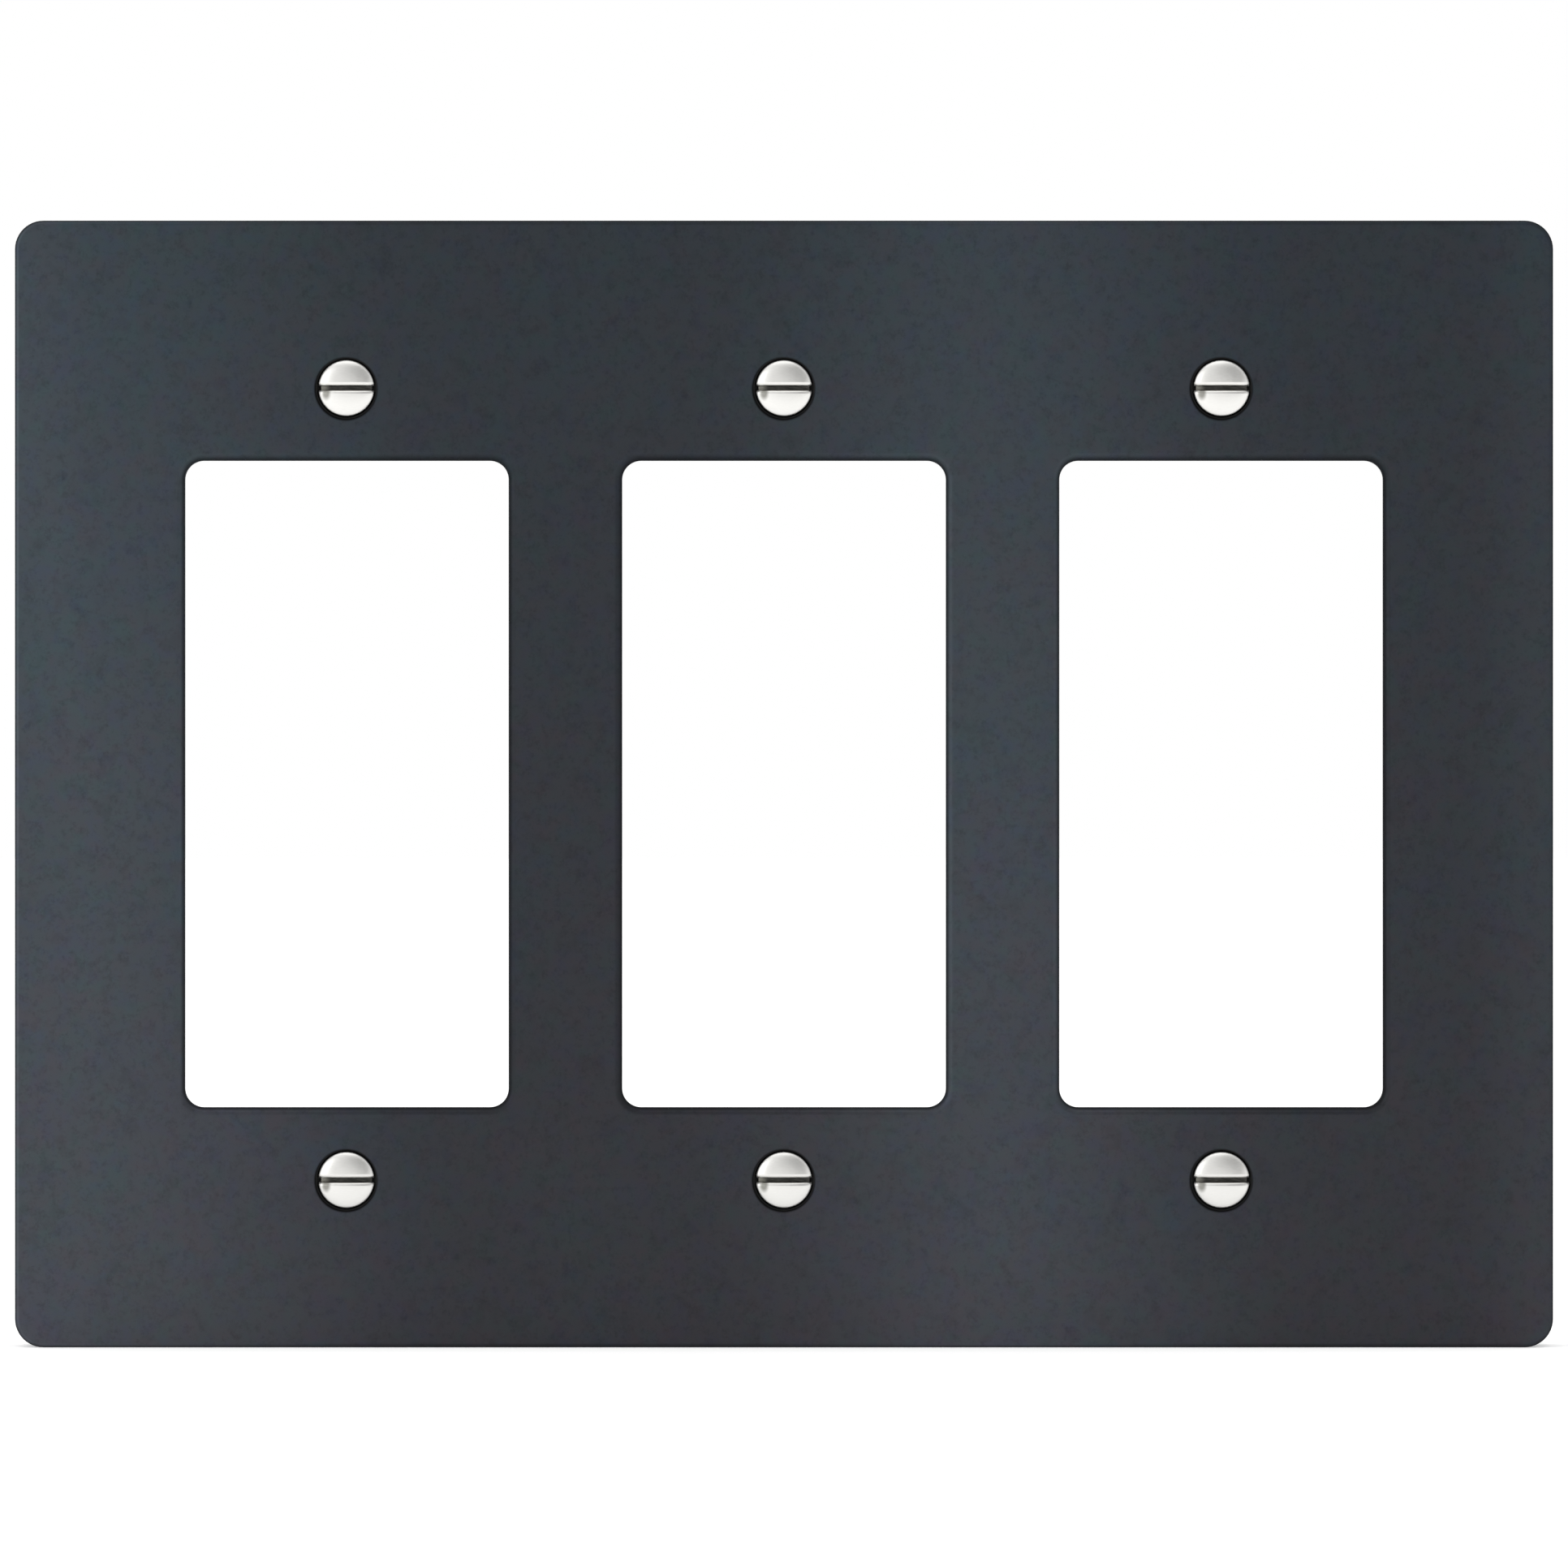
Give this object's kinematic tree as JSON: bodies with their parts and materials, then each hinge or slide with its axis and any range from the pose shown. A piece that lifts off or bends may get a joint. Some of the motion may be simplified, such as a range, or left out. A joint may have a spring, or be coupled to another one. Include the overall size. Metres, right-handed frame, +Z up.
{
  "type": "wall plate cover",
  "caption": "Flat rectangular metal cover plate with rounded corners, a bent rim, tall rectangular device openings and captive slotted oval-head screws.",
  "frame": {"origin": "the middle of the plate in the wall plane, where the rear edge of its rim rests: on both mid-lines, and the middle of the screw pattern", "axes": "+X along the plate's width to the right as seen from the front, +Z up along its height, +Y into the wall, so the front face looks towards -Y"},
  "size_m": [0.1618, 0.0135, 0.1186],
  "materials": {
    "plate_finish": "satin",
    "screw_nickel": "polished",
    "retainer_nylon": "satin"
  },
  "bodies": {
    "plate": {"wall_plate": "plate_finish"},
    "top_left_retainer": {"retainer_top_left": "retainer_nylon"},
    "top_left_screw": {"screw_top_left": "screw_nickel"},
    "top_middle_retainer": {"retainer_top_middle": "retainer_nylon"},
    "top_middle_screw": {"screw_top_middle": "screw_nickel"},
    "top_right_retainer": {"retainer_top_right": "retainer_nylon"},
    "top_right_screw": {"screw_top_right": "screw_nickel"},
    "bottom_left_retainer": {"retainer_bottom_left": "retainer_nylon"},
    "bottom_left_screw": {"screw_bottom_left": "screw_nickel"},
    "bottom_middle_retainer": {"retainer_bottom_middle": "retainer_nylon"},
    "bottom_middle_screw": {"screw_bottom_middle": "screw_nickel"},
    "bottom_right_retainer": {"retainer_bottom_right": "retainer_nylon"},
    "bottom_right_screw": {"screw_bottom_right": "screw_nickel"}
  },
  "joints": [
    {"name": "top_left_travel", "type": "slide", "parent": "plate", "child": "top_left_retainer", "axis": [0, -1, 0], "range_m": [0, 0.00178]},
    {"name": "top_left_turn", "type": "hinge", "parent": "top_left_retainer", "child": "top_left_screw", "pos_m": [-0.04604, 0, 0.04165], "axis": [0, -1, 0], "range_deg": [0, 810]},
    {"name": "top_middle_travel", "type": "slide", "parent": "plate", "child": "top_middle_retainer", "axis": [0, -1, 0], "range_m": [0, 0.00178]},
    {"name": "top_middle_turn", "type": "hinge", "parent": "top_middle_retainer", "child": "top_middle_screw", "pos_m": [0, 0, 0.04165], "axis": [0, -1, 0], "range_deg": [0, 810]},
    {"name": "top_right_travel", "type": "slide", "parent": "plate", "child": "top_right_retainer", "axis": [0, -1, 0], "range_m": [0, 0.00178]},
    {"name": "top_right_turn", "type": "hinge", "parent": "top_right_retainer", "child": "top_right_screw", "pos_m": [0.04604, 0, 0.04165], "axis": [0, -1, 0], "range_deg": [0, 810]},
    {"name": "bottom_left_travel", "type": "slide", "parent": "plate", "child": "bottom_left_retainer", "axis": [0, -1, 0], "range_m": [0, 0.00178]},
    {"name": "bottom_left_turn", "type": "hinge", "parent": "bottom_left_retainer", "child": "bottom_left_screw", "pos_m": [-0.04604, 0, -0.04165], "axis": [0, -1, 0], "range_deg": [0, 810]},
    {"name": "bottom_middle_travel", "type": "slide", "parent": "plate", "child": "bottom_middle_retainer", "axis": [0, -1, 0], "range_m": [0, 0.00178]},
    {"name": "bottom_middle_turn", "type": "hinge", "parent": "bottom_middle_retainer", "child": "bottom_middle_screw", "pos_m": [0, 0, -0.04165], "axis": [0, -1, 0], "range_deg": [0, 810]},
    {"name": "bottom_right_travel", "type": "slide", "parent": "plate", "child": "bottom_right_retainer", "axis": [0, -1, 0], "range_m": [0, 0.00178]},
    {"name": "bottom_right_turn", "type": "hinge", "parent": "bottom_right_retainer", "child": "bottom_right_screw", "pos_m": [0.04604, 0, -0.04165], "axis": [0, -1, 0], "range_deg": [0, 810]}
  ],
  "couplings": [
    {"joint": "top_left_turn", "follows": "top_left_travel", "rad_per_m": 7915.8},
    {"joint": "top_middle_turn", "follows": "top_middle_travel", "rad_per_m": 7915.8},
    {"joint": "top_right_turn", "follows": "top_right_travel", "rad_per_m": 7915.8},
    {"joint": "bottom_left_turn", "follows": "bottom_left_travel", "rad_per_m": 7915.8},
    {"joint": "bottom_middle_turn", "follows": "bottom_middle_travel", "rad_per_m": 7915.8},
    {"joint": "bottom_right_turn", "follows": "bottom_right_travel", "rad_per_m": 7915.8}
  ]
}
